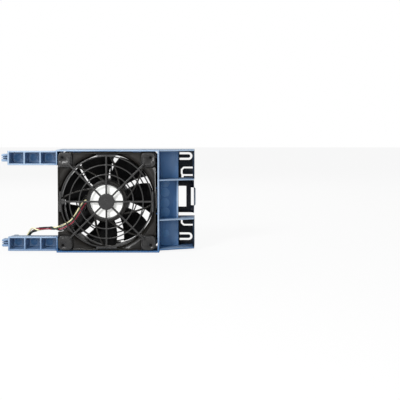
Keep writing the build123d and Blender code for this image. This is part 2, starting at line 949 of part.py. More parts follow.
def end_cap():
    low, high = end_ribs()
    left, rear = box_right + cap_gap, cap_at + cap_thickness
    plate = block(left, end_right, cap_at, rear, end_bottom + cap_gap, box_half - cap_gap)
    edge = end_rib / 2 + bite
    window_left, window_right = left + cap_strip, end_right + past
    window = block(window_left, window_right, cap_at - past, rear + past, low + edge, high - edge)
    cap = plate - window
    lip_right = end_right - slot_set_back - cap_gap
    lip_low = end_bottom - cap_lip_height
    cap += block(lip_right - cap_lip_length, lip_right, cap_at, rear, lip_low, end_bottom + past)
    wall_left = end_right - cap_wall
    for z0, z1 in (
        (high + end_rib / 2 + cap_gap, box_half - wall - cap_gap),
        (end_bottom + wall + cap_gap, low - end_rib / 2 - cap_gap),
    ):
        cap += block(wall_left, end_right, cap_wall_front, cap_at, z0, z1)
    for s in (-1, 1):
        cap -= deep(cap_slots(s), cap_at - past, rear + past)
        hole = Rot(0, 90, 0) * Cylinder(lock_hole_radius, 4 * cap_wall)
        cap -= Pos(end_right, lock_hole_depth, handle_mid + s * slot_centre) * hole
    for leg_z in cap_leg_places():
        cap += cap_leg(leg_z)
    return cap


def cap_slots(s):
    """The two slots that free the tongues of one outer bay."""
    centre = handle_mid + s * slot_centre
    half = (slot_height - slot_stroke) / 2
    right = end_right - slot_set_back - slot_stroke / 2
    left = end_right - slot_set_back - slot_length
    low, high = centre - half, centre + half
    finger = stroke_path(
        [(left, low), (right, low), (right, high), (left, high)],
        [half * 0.99, half * 0.99],
        slot_stroke,
    )
    inner, outer = handle_mid + s * tongue_inner, handle_mid + s * tongue_outer
    left, right = end_right - tongue_set_back, end_right + past
    corner = tongue_corner
    tongue = stroke_path(
        [
            (right, inner),
            (left, inner),
            (left, outer - s * corner),
            (left + corner, outer),
            (right, outer),
        ],
        [corner, corner / 2, corner / 2],
        tongue_stroke,
    )
    if s > 0:
        relief = Pos(left + tongue_stroke / 2, inner - tongue_relief / 2)
        tongue += relief * Rectangle(tongue_relief, tongue_relief)
    return finger + tongue


def cap_leg(z):
    """A snap leg behind the floor, with a barb in the window of the step wall."""
    inner = end_floor_right - wall - cap_gap
    low, high = z - cap_leg_width / 2, z + cap_leg_width / 2
    leg = block(inner - cap_leg_thickness, inner, cap_leg_front, cap_at + bite, low, high)
    root, tip = inner - cap_gap, inner + cap_gap + cap_barb_height
    barb_front, barb_rear = cap_barb
    barb = upright([(root, barb_front), (tip, barb_rear), (root, barb_rear)], low, high)
    return leg + barb


# Latch pieces


def latch_handle():
    low, high = handle_mid - handle_height / 2, handle_mid + handle_height / 2
    front = handle_rear - handle_thickness
    body = block(hinge_x, handle_bar_right, front, handle_rear, low, high)
    cut_front, cut_rear = handle_grip_front - past, handle_rear + past
    rail_low, rail_high = low + handle_rail, high - handle_rail
    body -= block(hinge_x - past, handle_bar_left, cut_front, cut_rear, rail_low, rail_high)
    neck = handle_bar_right - cap_gap
    end_points = [
        (neck, front),
        (handle_end - handle_grip, handle_grip_front),
        (handle_end, handle_grip_front),
        (handle_end, handle_grip_front + handle_grip_depth),
        (handle_bar_right, handle_rear),
        (neck, handle_rear),
    ]
    body += upright(end_points, low, high)
    hole_low, hole_high = rail_low + handle_hole_inset, rail_high - handle_hole_inset
    grip_right = handle_end - handle_grip
    body -= block(handle_bar_right, grip_right, cut_front, cut_rear, hole_low, hole_high)
    shoulder, outside = handle_end - handle_shoulder, handle_end + past
    for s, z in ((-1, low - past), (1, high + past)):
        grip = handle_mid + s * handle_grip_height / 2
        inner_grip = grip - s * 2 * past
        cut = [(shoulder, z), (outside, z), (outside, inner_grip), (shoulder, grip)]
        body -= deep(make_face(Polyline(*cut, close=True)), cut_front, cut_rear)
    knuckles = ((low, low + knuckle_height), (high - knuckle_height, high))
    for z0, z1 in knuckles:
        body += Pos(hinge_x, hinge_depth, (z0 + z1) / 2) * Cylinder(barrel_radius, z1 - z0)
        body += block(hinge_x, hinge_x + knuckle_reach, hinge_depth, handle_rear, z0, z1)
    clear = barrel_radius + past
    body -= block(
        hinge_x - clear,
        hinge_x + knuckle_reach + past / 2,
        hinge_depth - clear,
        cut_rear,
        low + knuckle_height,
        high - knuckle_height,
    )
    hole = Cylinder(hinge_pin_radius + hinge_clearance, handle_height + 2 * past)
    return body - Pos(hinge_x, hinge_depth, handle_mid) * hole


def latch_pin():
    length = end_rib_spread + end_rib + 2 * hinge_pin_overhang
    return Pos(hinge_x, hinge_depth, end_mid) * Cylinder(hinge_pin_radius, length)


def latch_spring():
    """Torsion spring of square wire: the coil, the leg on the carrier and the free leg."""
    height = spring_turns * spring_pitch
    coil_path = Helix(pitch=spring_pitch, height=height, radius=spring_radius)
    start = Plane(coil_path @ 0, z_dir=coil_path % 0)
    coil = sweep(start * Rectangle(spring_wire, spring_wire), path=coil_path, is_frenet=True)
    turned_coil = Pos(hinge_x, hinge_depth, handle_mid - height / 2) * (Rot(0, 0, -90) * coil)
    near, half = hinge_depth - spring_radius, spring_wire / 2
    low, high = handle_mid - height / 2, handle_mid + height / 2
    rest = mid_wall_rear + 2 * fit
    side = [
        (hinge_x, near - half),
        (end_floor_right, rest),
        (end_floor_right, rest + spring_wire),
        (hinge_x, near + half),
    ]
    leg = upright(side, low - half, low + half)
    free_end = hinge_x + spring_free_leg
    free_leg = block(hinge_x, free_end, near - half, near + half, high - half, high + half)
    return turned_coil + leg + free_leg


# Lead and its plug


def lead_route():
    """Centre line of the four-wire lead: board, strut channel, frame notch, arm, plug."""
    first, bend, exit_point = [(x * fan_half, z * fan_half) for x, z in lead_in_frame]
    board_contact = board_at - wire_radius - fit
    level = exit_point[1]
    return [
        Vector(-12.0, board_contact, first[1] + 0.6),
        Vector(first[0], lead_depth, first[1]),
        Vector(bend[0], lead_depth, bend[1]),
        Vector(exit_point[0], lead_depth, level),
        Vector(box_left - 2.5, lead_depth + 0.9, level + 0.1),
        Vector(box_left - 10.0, 7.6, level - 0.1),
        Vector(plug_right + 18.1, 17.2, plug_at + 12.3),
        Vector(plug_right + 10.9, 25.8, plug_at + 8.1),
        Vector(plug_right + 6.5, plug_front + plug_depth / 2, plug_at),
        Vector(plug_right + fit, plug_front + plug_depth / 2, plug_at),
    ]


def wire_offset(place, order):
    """How far up and back one of the four wires runs beside the lead's centre line."""
    side = 1 if order < 2 else -1
    outer = order in (0, 3)
    back = 1 if outer else -1
    if place < 4:
        return side * wire_pitch * (1.5 if outer else 0.5), 0.0
    if place == 4:
        return side * wire_turning[0 if outer else 1], back * wire_turning[2]
    if place == 6:
        return bundle_split[0 if side > 0 else 1], back * bundle_half
    return side * bundle_half, back * bundle_half


def wire(order):
    """One wire of the lead, counted from the upper edge of the channel."""
    route = lead_route()
    points = []
    for index, here in enumerate(route):
        before, after = route[max(index - 1, 0)], route[min(index + 1, len(route) - 1)]
        arriving = (here - before).normalized() if index else (after - here).normalized()
        leaving = (after - here).normalized() if after != here else arriving
        along = (arriving + leaving).normalized()
        beside = Vector(0, 0, 1).cross(along).normalized()
        above = along.cross(beside)
        up, back = wire_offset(index, order)
        mitre = 1 / along.dot(arriving)
        points.append(here + (above * up - beside * back) * mitre)
    radii = [corner_radius(points, index) for index in range(1, len(points) - 1)]
    path = FilletPolyline(*points, radius=radii)
    start = Plane(path @ 0, z_dir=path % 0)
    print("wire", order, "length", round(path.length, 1), "radii", [round(r, 1) for r in radii])
    return sweep(start * Circle(wire_radius), path=path)


def lead_plug():
    half = plug_height / 2
    rear = plug_front + plug_depth
    body = block(
        plug_left, plug_right, plug_front, rear, plug_at - half, plug_at + half
    )
    body = chamfer(body.edges().filter_by(Axis.X), plug_chamfer)
    middle = plug_front + plug_depth / 2
    for y in (-1, 1):
        for z in (-1, 1):
            at = (middle + y * contact_pitch / 2, plug_at + z * contact_pitch / 2)
            body -= block(
                plug_left - past,
                plug_right - plug_back,
                at[0] - contact_hole,
                at[0] + contact_hole,
                at[1] - contact_hole,
                at[1] + contact_hole,
            )
    return body


def plug_contacts():
    middle = plug_front + plug_depth / 2
    size = contact_hole - fit
    contacts = []
    for y in (-1, 1):
        for z in (-1, 1):
            cy, cz = middle + y * contact_pitch / 2, plug_at + z * contact_pitch / 2
            left, right = plug_left + contact_set_back, plug_right - plug_back - fit
            shell = block(left, right, cy - size, cy + size, cz - size, cz + size)
            hollow = size - contact_wall
            shell -= block(left - past, right - past, cy - hollow, cy + hollow, cz - hollow, cz + hollow)
            contacts.append(shell)
    return contacts


os.makedirs("parts", exist_ok=True)
save("carrier", carrier())
save("end_cap", end_cap())
save("latch_handle", latch_handle())
save("latch_pin", latch_pin())
save("latch_spring", latch_spring())
save("fan_frame", fan_frame())
save("front_guard", guard())
save("rear_guard", rear_guard())
save("impeller", impeller())
save("rotor_yoke", rotor_yoke())
save("rotor_magnet", rotor_magnet())
save("shaft", shaft())
save("shaft_clip", shaft_clip())
save("preload_washer", preload_washer())
save("bearing_tube", bearing_tube())
for place, at in (("front", front_bearing_at), ("rear", rear_bearing_at)):
    outer_race, inner_race, balls, cage = bearing(at)
    save(place + "_bearing_outer", outer_race)
    save(place + "_bearing_inner", inner_race)
    save(place + "_bearing_balls", *balls)
    save(place + "_bearing_cage", cage)
save("stator_core", stator_core())
save("core_insulators", *core_insulators())
save("stator_windings", *stator_windings())
save("circuit_board", circuit_board())
save("board_chips", *board_chips())
label_at = motor_base_front + label_recess
save("motor_label", deep(Circle(label_radius), label_at - label_thickness, label_at))
for order, colour in enumerate(("yellow", "green", "red", "black")):
    save("lead_" + colour, wire(order))
save("lead_plug", lead_plug())
save("plug_contacts", *plug_contacts())
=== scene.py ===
import json
import math
import bpy
import bmesh
from mathutils import Matrix, Vector
from mathutils.bvhtree import BVHTree

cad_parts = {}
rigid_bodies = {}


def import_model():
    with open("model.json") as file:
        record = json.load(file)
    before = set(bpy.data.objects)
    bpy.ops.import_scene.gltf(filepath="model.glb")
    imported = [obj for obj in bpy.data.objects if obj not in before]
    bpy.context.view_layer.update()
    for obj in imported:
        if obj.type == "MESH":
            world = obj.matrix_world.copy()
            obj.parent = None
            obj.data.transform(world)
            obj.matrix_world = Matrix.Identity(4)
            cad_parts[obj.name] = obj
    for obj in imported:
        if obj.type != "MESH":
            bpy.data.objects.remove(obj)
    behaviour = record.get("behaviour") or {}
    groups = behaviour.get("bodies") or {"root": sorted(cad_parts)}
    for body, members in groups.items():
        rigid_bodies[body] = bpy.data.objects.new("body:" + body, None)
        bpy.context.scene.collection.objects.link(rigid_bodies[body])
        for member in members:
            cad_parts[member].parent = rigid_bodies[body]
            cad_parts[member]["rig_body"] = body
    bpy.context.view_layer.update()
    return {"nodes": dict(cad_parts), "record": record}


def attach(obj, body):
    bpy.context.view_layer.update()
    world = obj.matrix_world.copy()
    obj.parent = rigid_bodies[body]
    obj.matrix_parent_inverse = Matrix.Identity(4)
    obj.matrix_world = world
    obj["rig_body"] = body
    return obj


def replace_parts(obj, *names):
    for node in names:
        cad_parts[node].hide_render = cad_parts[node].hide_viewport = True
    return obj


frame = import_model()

mm = 0.001
origin = Vector((-9.15, 19.0, -48.4))  # the CAD origin, seen from the fan's axis at its front face
print("frame loaded,", len(frame["nodes"]), "nodes")


def fromFan(x, depth, z):
    return (Vector((x, depth, z)) - origin) * mm


# Camera, floor and light

view = {
    "stand": (92.3, -850.0, 71.7),   # camera place, mm from the fan's axis
    "aim": (92.3, 0.0, 38.9),
    "angle": 24.86,
    "shift": (-0.0125, -0.1),        # the picture is cropped off the lens axis
    "clip": (0.02, 20.0),            # m
}


def buildCamera():
    data = bpy.data.cameras.new("cameraMain")
    data.angle = math.radians(view["angle"])
    data.shift_x, data.shift_y = view["shift"]
    data.clip_start, data.clip_end = view["clip"]
    cam = bpy.data.objects.new("cameraMain", data)
    bpy.context.collection.objects.link(cam)
    cam.location = fromFan(*view["stand"])
    look = fromFan(*view["aim"]) - cam.location
    cam.rotation_mode = "QUATERNION"
    cam.rotation_quaternion = look.to_track_quat("-Z", "Y")
    bpy.context.scene.camera = cam


stageSettings = {
    "floorSize": 8.0,                # m, as are the lamps' places and sizes
    "floorColour": (0.93, 0.93, 0.93),
    "floorRoughness": 0.9,
    "cameraWhite": 0.9,              # share of plain white that the camera sees on the floor
    "worldLight": 0.32,
    "lampAim": (0.0, 0.0, 0.05),
    "lamps": [                       # name, place, size, power, shows in reflections
        ("keyLight", (-0.48, -1.0, 0.66), (0.3, 0.3), 12.0, True),
        ("fillLight", (0.05, -1.3, 0.2), (0.5, 0.5), 6.5, False),
        ("rimLight", (-0.2, 0.8, 0.7), (0.9, 0.5), 3.0, True),
    ],
}


def addNode(tree, kind, x, y, **values):
    node = tree.nodes.new(kind)
    node.location = (x, y)
    for key, value in values.items():
        if hasattr(node, key):
            setattr(node, key, value)
        else:
            node.inputs[key.replace("_", " ")].default_value = value
    return node


def areaLight(name, place, size, power, glossy):
    data = bpy.data.lights.new(name, "AREA")
    data.shape = "RECTANGLE"
    data.size, data.size_y = size
    data.energy = power
    lamp = bpy.data.objects.new(name, data)
    bpy.context.collection.objects.link(lamp)
    lamp.location = place
    lamp.visible_glossy = glossy
    lamp.rotation_mode = "QUATERNION"
    look = Vector(stageSettings["lampAim"]) - Vector(place)
    lamp.rotation_quaternion = look.to_track_quat("-Z", "Y")


def buildFloor():
    s = stageSettings
    bm = bmesh.new()
    bmesh.ops.create_grid(bm, x_segments=1, y_segments=1, size=s["floorSize"] / 2)
    mesh = bpy.data.meshes.new("floor")
    bm.to_mesh(mesh)
    bm.free()
    floor = bpy.data.objects.new("floor", mesh)
    bpy.context.collection.objects.link(floor)

    mat = bpy.data.materials.new("studioFloor")
    mat.use_nodes = True
    tree = mat.node_tree
    tree.nodes.clear()
    out = addNode(tree, "ShaderNodeOutputMaterial", 700, 0)
    matt = addNode(tree, "ShaderNodeBsdfPrincipled", 0, -100, Roughness=s["floorRoughness"])
    matt.inputs["Base Color"].default_value = (*s["floorColour"], 1)
    white = addNode(tree, "ShaderNodeEmission", 0, 200)
    path = addNode(tree, "ShaderNodeLightPath", -300, 300)
    seen = addNode(tree, "ShaderNodeMath", 0, 400, operation="MULTIPLY")
    seen.inputs[1].default_value = s["cameraWhite"]
    mix = addNode(tree, "ShaderNodeMixShader", 400, 0)
    tree.links.new(path.outputs["Is Camera Ray"], seen.inputs[0])
    tree.links.new(seen.outputs[0], mix.inputs[0])
    tree.links.new(matt.outputs[0], mix.inputs[1])
    tree.links.new(white.outputs[0], mix.inputs[2])
    tree.links.new(mix.outputs[0], out.inputs[0])
    floor.data.materials.append(mat)


def buildWorld():
    world = bpy.data.worlds.new("studioWorld")
    bpy.context.scene.world = world
    world.use_nodes = True
    tree = world.node_tree
    tree.nodes.clear()
    out = addNode(tree, "ShaderNodeOutputWorld", 600, 0)
    back = addNode(tree, "ShaderNodeBackground", 300, 0)
    back.inputs["Color"].default_value = (1, 1, 1, 1)
    path = addNode(tree, "ShaderNodeLightPath", -200, 100)
    level = addNode(tree, "ShaderNodeMapRange", 80, 100)
    level.inputs["To Min"].default_value = stageSettings["worldLight"]
    level.inputs["To Max"].default_value = 1.0
    tree.links.new(path.outputs["Is Camera Ray"], level.inputs["Value"])
    tree.links.new(level.outputs[0], back.inputs["Strength"])
    tree.links.new(back.outputs[0], out.inputs[0])


def buildStage():
    buildFloor()
    buildWorld()
    for lamp in stageSettings["lamps"]:
        areaLight(*lamp)
    bpy.context.scene.view_settings.view_transform = "Standard"


# Shared shader effects


def newGroup(name, inputs, outputs):
    group = bpy.data.node_groups.new(name, "ShaderNodeTree")
    for label, kind, value in inputs:
        sock = group.interface.new_socket(name=label, in_out="INPUT", socket_type=kind)
        sock.default_value = value
    for label, kind in outputs:
        group.interface.new_socket(name=label, in_out="OUTPUT", socket_type=kind)
    start = addNode(group, "NodeGroupInput", -900, 0)
    end = addNode(group, "NodeGroupOutput", 900, 0)
    return group, start, end


def edgeMaskGroup():
    # 1 on edges, 0 on flats: how far the bevelled normal leans from the true one
    group, start, end = newGroup(
        "edgeMask",
        [("Radius", "NodeSocketFloat", 0.0006), ("Gain", "NodeSocketFloat", 6.0)],
        [("Mask", "NodeSocketFloat")],
    )
    bevel = addNode(group, "ShaderNodeBevel", -600, 100, samples=6)
    true = addNode(group, "ShaderNodeNewGeometry", -600, -150)
    dot = addNode(group, "ShaderNodeVectorMath", -350, 0, operation="DOT_PRODUCT")
    lean = addNode(group, "ShaderNodeMath", -100, 0, operation="SUBTRACT", use_clamp=True)
    lean.inputs[0].default_value = 1.0
    gain = addNode(group, "ShaderNodeMath", 200, 0, operation="MULTIPLY", use_clamp=True)
    group.links.new(start.outputs["Radius"], bevel.inputs["Radius"])
    group.links.new(bevel.outputs[0], dot.inputs[0])
    group.links.new(true.outputs["Normal"], dot.inputs[1])
    group.links.new(dot.outputs["Value"], lean.inputs[1])
    group.links.new(lean.outputs[0], gain.inputs[0])
    group.links.new(start.outputs["Gain"], gain.inputs[1])
    group.links.new(gain.outputs[0], end.inputs["Mask"])
    return group


def grainGroup():
    # fine spark-eroded grain with a slow flow variation under it
    group, start, end = newGroup(
        "mouldGrain",
        [
            ("Vector", "NodeSocketVector", (0, 0, 0)),
            ("Grain Scale", "NodeSocketFloat", 1400.0),
            ("Flow Scale", "NodeSocketFloat", 28.0),
        ],
        [("Height", "NodeSocketFloat"), ("Flow", "NodeSocketFloat")],
    )
    fine = addNode(group, "ShaderNodeTexNoise", -500, 200)
    fine.inputs["Detail"].default_value = 3.0
    slow = addNode(group, "ShaderNodeTexNoise", -500, -150)
    slow.inputs["Detail"].default_value = 4.0
    slow.inputs["Roughness"].default_value = 0.62
    group.links.new(start.outputs["Vector"], fine.inputs["Vector"])
    group.links.new(start.outputs["Grain Scale"], fine.inputs["Scale"])
    group.links.new(start.outputs["Vector"], slow.inputs["Vector"])
    group.links.new(start.outputs["Flow Scale"], slow.inputs["Scale"])
    group.links.new(fine.outputs[0], end.inputs["Height"])
    group.links.new(slow.outputs[0], end.inputs["Flow"])
    return group


def recessGroup():
    # 1 deep in a pocket, 0 in the open, from ambient occlusion: where it is high the colour turns
    # to a painted shade
    group, start, end = newGroup(
        "recessMask",
        [("Distance", "NodeSocketFloat", 0.02), ("Gain", "NodeSocketFloat", 1.4)],
        [("Mask", "NodeSocketFloat")],
    )
    openSky = addNode(group, "ShaderNodeAmbientOcclusion", -500, 0, samples=8)
    closed = addNode(group, "ShaderNodeMath", -100, 0, operation="SUBTRACT", use_clamp=True)
    closed.inputs[0].default_value = 1.0
    gain = addNode(group, "ShaderNodeMath", 200, 0, operation="MULTIPLY", use_clamp=True)
    group.links.new(start.outputs["Distance"], openSky.inputs["Distance"])
    group.links.new(openSky.outputs["AO"], closed.inputs[1])
    group.links.new(closed.outputs[0], gain.inputs[0])
    group.links.new(start.outputs["Gain"], gain.inputs[1])
    group.links.new(gain.outputs[0], end.inputs["Mask"])
    return group


edgeMask = edgeMaskGroup()
mouldGrain = grainGroup()
recessMask = recessGroup()


def toLinear(colour):
    out = []
    for channel in colour:
        c = channel / 255
        out.append(c / 12.92 if c <= 0.04045 else ((c + 0.055) / 1.055) ** 2.4)
    return (*out, 1.0)


def riseAlongX(tree, coord, x, y, span):
    # 0 to 1 from one X of the object to another, in mm
    where = addNode(tree, "ShaderNodeSeparateXYZ", x, y)
    rise = addNode(tree, "ShaderNodeMapRange", x + 200, y, interpolation_type="SMOOTHSTEP")
    rise.inputs["From Min"].default_value = span["from"] * mm
    rise.inputs["From Max"].default_value = span["to"] * mm
    tree.links.new(coord.outputs["Object"], where.inputs[0])
    tree.links.new(where.outputs["X"], rise.inputs["Value"])
    return rise


def paintGripReflection(tree, coord, edgeLit, shader, gripReflection):
    # a painted reflection: the grip's outer end is painted lighter along X
    rise = riseAlongX(tree, coord, -300, 700, gripReflection)
    mix = addNode(tree, "ShaderNodeMix", 350, 300, data_type="RGBA")
    mix.inputs["B"].default_value = toLinear(gripReflection["colour"])
    tree.links.new(edgeLit.outputs["Result"], mix.inputs["A"])
    tree.links.new(rise.outputs[0], mix.inputs["Factor"])
    tree.links.new(mix.outputs["Result"], shader.inputs["Base Color"])


def easePaintedShade(tree, coord, shadeMask, shaded, shadeEase):
    # the painted shade in pockets is cut to a share below one X, which takes in the arms' cells
    rise = riseAlongX(tree, coord, -700, 700, shadeEase)
    rise.inputs["To Min"].default_value = shadeEase["share"]
    less = addNode(tree, "ShaderNodeMath", -200, 600, operation="MULTIPLY")
    tree.links.new(rise.outputs[0], less.inputs[0])
    tree.links.new(shadeMask.outputs["Mask"], less.inputs[1])
    tree.links.new(less.outputs[0], shaded.inputs["Factor"])


plainLook = {                 # what a finish has unless it says otherwise
    "stretch": (1, 1, 1),
    "grainScale": 1400.0,
    "flowScale": 28.0,
    # strength of the painted shade in pockets
    "recessGain": 1.4,
    "edgeRadius": 0.5,        # mm
    # strength of the painted highlight on edges
    "edgeGain": 4.0,
    "bump": 0.25,
    "depth": 0.02,            # mm, height of the grain
    "metallic": 0.0,
    "specular": 0.5,
}


def makeFinish(name, own):
    # one moulded, drawn or coated surface: flow variation, painted shade in pockets, a painted
    # highlight on edges, grain in the bump
    look = {**plainLook, "recess": own["dark"], "edge": own["light"], **own}
    mat = bpy.data.materials.new(name)
    mat.use_nodes = True
    tree = mat.node_tree
    tree.nodes.clear()
    out = addNode(tree, "ShaderNodeOutputMaterial", 900, 0)
    shader = addNode(tree, "ShaderNodeBsdfPrincipled", 600, 0)
    coord = addNode(tree, "ShaderNodeTexCoord", -1100, 0)
    place = addNode(tree, "ShaderNodeMapping", -900, 0)
    place.inputs["Scale"].default_value = look["stretch"]
    grain = addNode(tree, "ShaderNodeGroup", -650, 0, node_tree=mouldGrain)
    grain.inputs["Grain Scale"].default_value = look["grainScale"]
    grain.inputs["Flow Scale"].default_value = look["flowScale"]
    ramp = addNode(tree, "ShaderNodeMix", -300, 200, data_type="RGBA")
    ramp.inputs["A"].default_value = toLinear(look["dark"])
    ramp.inputs["B"].default_value = toLinear(look["light"])
    # painted shade: towards the pocket's shade colour where the occlusion mask is high
    shaded = addNode(tree, "ShaderNodeMix", -100, 200, data_type="RGBA")
    shaded.inputs["B"].default_value = toLinear(look["recess"])
    shadeMask = addNode(tree, "ShaderNodeGroup", -300, 450, node_tree=recessMask)
    shadeMask.inputs["Gain"].default_value = look["recessGain"]
    # painted highlight: edges painted lighter where the edge mask is high
    edgeLit = addNode(tree, "ShaderNodeMix", 100, 200, data_type="RGBA")
    edgeLit.inputs["B"].default_value = toLinear(look["edge"])
    edges = addNode(tree, "ShaderNodeGroup", -300, -100, node_tree=edgeMask)
    edges.inputs["Radius"].default_value = look["edgeRadius"] * mm
    edges.inputs["Gain"].default_value = look["edgeGain"]
    rough = addNode(tree, "ShaderNodeMapRange", 100, -100)
    rough.inputs["To Min"].default_value = look["roughness"][0]
    rough.inputs["To Max"].default_value = look["roughness"][1]
    bump = addNode(tree, "ShaderNodeBump", 300, -350)
    bump.inputs["Strength"].default_value = look["bump"]
    bump.inputs["Distance"].default_value = look["depth"] * mm
    links = tree.links
    links.new(coord.outputs["Object"], place.inputs["Vector"])
    links.new(place.outputs[0], grain.inputs["Vector"])
    links.new(grain.outputs["Flow"], ramp.inputs["Factor"])
    links.new(ramp.outputs["Result"], shaded.inputs["A"])
    links.new(shadeMask.outputs["Mask"], shaded.inputs["Factor"])
    links.new(shaded.outputs["Result"], edgeLit.inputs["A"])
    links.new(edges.outputs["Mask"], edgeLit.inputs["Factor"])
    links.new(edgeLit.outputs["Result"], shader.inputs["Base Color"])
    links.new(grain.outputs["Flow"], rough.inputs["Value"])
    links.new(rough.outputs[0], shader.inputs["Roughness"])
    links.new(grain.outputs["Height"], bump.inputs["Height"])
    links.new(bump.outputs[0], shader.inputs["Normal"])
    links.new(shader.outputs[0], out.inputs[0])
    if "shadeEase" in look:
        easePaintedShade(tree, coord, shadeMask, shaded, look["shadeEase"])
    if "gripReflection" in look:
        paintGripReflection(tree, coord, edgeLit, shader, look["gripReflection"])
    shader.inputs["Metallic"].default_value = look["metallic"]
    shader.inputs["Specular IOR Level"].default_value = look["specular"]
    return mat


# sRGB colours, 0 to 255, and roughness from the shiniest to the dullest patch; the pocket colour is
# painted shade, the edge colour a painted highlight (a little darker only on the label)
finishes = {
    "bluePlastic": {
        "dark": (136, 158, 184), "light": (148, 168, 190), "edge": (186, 197, 207),
        # painted shade in the pockets: a deep blue
        "recess": (46, 92, 140), "recessGain": 2.4,
        # less painted shade in the arms' cells
        "shadeEase": {"from": -41.0, "to": -39.0, "share": 0.6},
        "roughness": (0.36, 0.5), "edgeRadius": 0.4, "edgeGain": 2.0, "bump": 0.2,
    },
    "capPlastic": {
        "dark": (9, 26, 43), "light": (14, 35, 55), "edge": (56, 72, 94), "recess": (5, 9, 17),
        "roughness": (0.36, 0.5), "edgeGain": 1.4, "bump": 0.25, "specular": 0.25,
    },
    "handlePlastic": {
        "dark": (8, 12, 24), "light": (13, 20, 35), "edge": (56, 68, 88), "recess": (5, 8, 15),
        "roughness": (0.34, 0.48), "edgeGain": 1.4, "bump": 0.25, "specular": 0.25,
        # painted reflection along the grip's outer end
        "gripReflection": {"from": 90.7, "to": 91.9, "colour": (120, 132, 146)},
    },
    "fanPlastic": {
        "dark": (24, 22, 19), "light": (34, 31, 27), "edge": (84, 80, 73), "recess": (8, 8, 8),
        "roughness": (0.22, 0.36), "edgeGain": 1.2, "grainScale": 900.0, "bump": 0.15,
        "specular": 0.38,
    },
    "guardPlastic": {
        "dark": (34, 34, 35), "light": (46, 45, 44), "edge": (96, 96, 96),
        "roughness": (0.26, 0.4), "edgeGain": 1.2, "bump": 0.15,
    },
    "bladePlastic": {
        "dark": (8, 8, 9), "light": (15, 15, 16), "edge": (40, 40, 42),
        "roughness": (0.3, 0.44), "edgeGain": 1.0, "stretch": (1, 3, 1), "bump": 0.15,
    },
    "plugPlastic": {
        "dark": (24, 24, 25), "light": (34, 34, 36), "edge": (70, 70, 72), "roughness": (0.3, 0.4),
    },
    "groundSteel": {
        "dark": (168, 170, 174), "light": (196, 197, 200), "metallic": 1.0,
        "roughness": (0.22, 0.36), "stretch": (1, 14, 1), "bump": 0.15,
    },
    "lamination": {
        "dark": (92, 95, 102), "light": (120, 122, 128), "metallic": 1.0,
        "roughness": (0.4, 0.6), "stretch": (0.2, 6, 0.2), "bump": 0.5,
    },
    "brassTube": {
        "dark": (190, 152, 84), "light": (214, 178, 108), "metallic": 1.0, "roughness": (0.25, 0.4),
    },
    "enamelledCopper": {
        "dark": (150, 72, 36), "light": (192, 102, 56), "metallic": 0.85,
        "roughness": (0.25, 0.4), "stretch": (1, 9, 1), "bump": 0.6,
    },
    "ferrite": {"dark": (44, 42, 42), "light": (60, 58, 58), "roughness": (0.55, 0.7)},
    "insulatorPlastic": {
        "dark": (206, 202, 186), "light": (222, 218, 204), "roughness": (0.4, 0.5),
    },
    "solderMask": {"dark": (24, 88, 48), "light": (34, 108, 60), "roughness": (0.2, 0.35)},
    "chipPackage": {"dark": (22, 22, 23), "light": (32, 32, 34), "roughness": (0.4, 0.55)},
    "coatedLabel": {
        "dark": (240, 241, 238), "light": (248, 248, 246), "edge": (222, 224, 222),
        "roughness": (0.3, 0.42), "grainScale": 700.0, "bump": 0.08,
    },
    "redWire": {"dark": (122, 26, 44), "light": (158, 46, 66), "roughness": (0.28, 0.4)},
    "blackWire": {"dark": (22, 20, 22), "light": (36, 32, 34), "roughness": (0.28, 0.4)},
    "yellowWire": {"dark": (232, 224, 176), "light": (244, 240, 204), "roughness": (0.28, 0.4)},
    "greenWire": {"dark": (34, 46, 38), "light": (48, 62, 50), "roughness": (0.28, 0.4)},
    "ejectorWitness": {
        # painted shade in the pockets, for the witnesses on the floors
        "dark": (84, 122, 162), "light": (98, 134, 170), "recess": (66, 108, 152),
        "recessGain": 2.0, "roughness": (0.3, 0.42), "grainScale": 900.0, "bump": 0.1,
    },
}

slotFinish = {
    "blue_plastic": "bluePlastic", "cap_plastic": "capPlastic", "fan_plastic": "fanPlastic",
    "guard_plastic": "guardPlastic", "blade_plastic": "bladePlastic", "plug_plastic": "plugPlastic",
    "steel": "groundSteel", "core_steel": "lamination", "brass": "brassTube",
    "copper": "enamelledCopper", "magnet": "ferrite", "insulator": "insulatorPlastic",
    "board": "solderMask", "chip": "chipPackage", "label": "coatedLabel",
    "wire_red": "redWire", "wire_black": "blackWire", "wire_yellow": "yellowWire",
    "wire_green": "greenWire",
}

nodeFinish = {"latch_handle": "handlePlastic"}     # where a node differs from its slot
nodeSlot = {part["node"]: part["material_slot"] for part in frame["record"]["subparts"]}
made = {name: makeFinish(name, look) for name, look in finishes.items()}
print("finishes made,", len(made))


def dressNodes():
    for node, slot in nodeSlot.items():
        obj = frame["nodes"][node]
        finish = nodeFinish.get(node, slotFinish[slot])
        obj.data.materials.clear()
        obj.data.materials.append(made[finish])


def meshPiece(name, bm, material, smooth):
    mesh = bpy.data.meshes.new(name)
    bm.to_mesh(mesh)
    bm.free()
    mesh.polygons.foreach_set("use_smooth", [True] * len(mesh.polygons))
    mesh.set_sharp_from_angle(angle=math.radians(smooth))
    mesh.materials.append(material)
    obj = bpy.data.objects.new(name, mesh)
    bpy.context.collection.objects.link(obj)
    return obj


# Moulded pieces with rounded edges, made from their CAD solids

